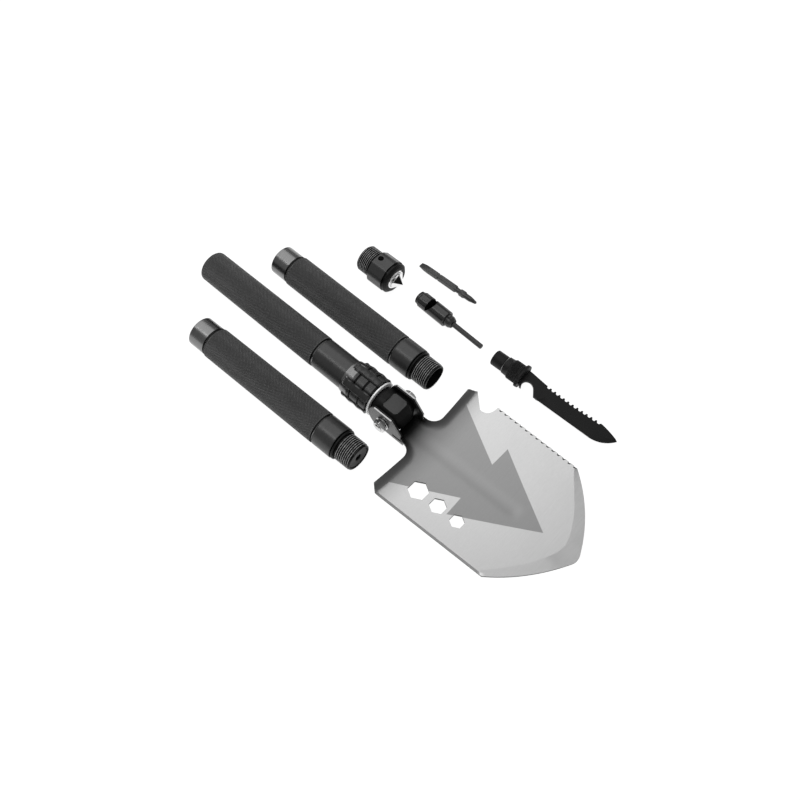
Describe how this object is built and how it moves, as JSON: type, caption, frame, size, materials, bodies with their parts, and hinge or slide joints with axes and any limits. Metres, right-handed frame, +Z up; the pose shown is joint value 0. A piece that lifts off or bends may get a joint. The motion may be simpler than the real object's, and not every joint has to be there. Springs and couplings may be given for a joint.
{
  "type": "modular folding camp shovel",
  "caption": "Folding camp shovel taken apart as a kit: hinged blade and grip, screw-on extension tubes, hammer cap, driver bit, whistle with fire rod, and knife.",
  "frame": {"origin": "on the ground under the middle of the kit's bounding box", "axes": "+X along the shovel from the grip's end to the blade's tip; +Z up, out of the blade's face; +Y towards the knife and the whistle"},
  "size_m": [0.453, 0.2308, 0.0391],
  "materials": {
    "knurled": "black anodised, knurled",
    "black_steel": "black oxide",
    "anodised": "black anodised, satin",
    "blade_steel": "two-tone brushed and satin",
    "bright": "polished",
    "bolt_steel": "zinc plated",
    "rubber": "matte",
    "ferro": "matte"
  },
  "bodies": {
    "handle": {"handle_tube": "knurled", "hinge_head": "black_steel"},
    "blade": {"blade": "blade_steel", "pivot_bolt": "bolt_steel", "pivot_nut": "bolt_steel", "pivot_washer_left": "bolt_steel", "pivot_washer_right": "bolt_steel"},
    "thrust_ring": {"thrust_ring": "bright"},
    "collar": {"locking_collar": "anodised"},
    "lower_tube": {"lower_tube": "knurled", "lower_tube_oring": "rubber", "bit_socket_plug": "anodised"},
    "upper_tube": {"upper_tube": "knurled", "upper_tube_oring": "rubber"},
    "hammer_cap": {"cap_body": "anodised", "cap_ring": "bright", "breaker_tip": "bright"},
    "driver_bit": {"driver_bit": "black_steel"},
    "whistle": {"whistle_cap": "anodised", "whistle_body": "anodised"},
    "fire_rod": {"rod_holder": "anodised", "ferro_rod": "ferro"},
    "knife": {"knife_base": "black_steel", "knife_ferrule": "black_steel", "knife_guard": "black_steel", "knife_blade": "black_steel"}
  },
  "joints": [
    {"name": "blade_fold", "type": "hinge", "parent": "handle", "child": "blade", "pos_m": [0.0205, -0.04024, 0.0196], "axis": [0, -1, 0], "range_deg": [0, 140]},
    {"name": "collar_slide", "type": "slide", "parent": "handle", "child": "thrust_ring", "axis": [1, 0, 0], "range_m": [-0.0035, 0]},
    {"name": "collar_turn", "type": "hinge", "parent": "thrust_ring", "child": "collar", "pos_m": [-0.0145, -0.04024, 0.0196], "axis": [1, 0, 0], "range_deg": [-630, 0]},
    {"name": "lower_tube_lift", "type": "slide", "parent": "handle", "child": "lower_tube", "axis": [0, 0, 1], "range_m": [0, 0.01]},
    {"name": "upper_tube_lift", "type": "slide", "parent": "handle", "child": "upper_tube", "axis": [0, 0, 1], "range_m": [0, 0.01]},
    {"name": "hammer_cap_lift", "type": "slide", "parent": "handle", "child": "hammer_cap", "axis": [0, 0, 1], "range_m": [0, 0.01]},
    {"name": "driver_bit_lift", "type": "slide", "parent": "handle", "child": "driver_bit", "axis": [0, 0, 1], "range_m": [0, 0.01]},
    {"name": "whistle_lift", "type": "slide", "parent": "handle", "child": "whistle", "axis": [0, 0, 1], "range_m": [0, 0.01]},
    {"name": "knife_lift", "type": "slide", "parent": "handle", "child": "knife", "axis": [0, 0, 1], "range_m": [0, 0.01]},
    {"name": "fire_rod_pull", "type": "slide", "parent": "whistle", "child": "fire_rod", "axis": [0.9987, -0.0506, 0], "range_m": [0, 0.012]}
  ],
  "couplings": [
    {"joint": "collar_slide", "follows": "collar_turn", "m_per_rad": 0.00031831}
  ]
}
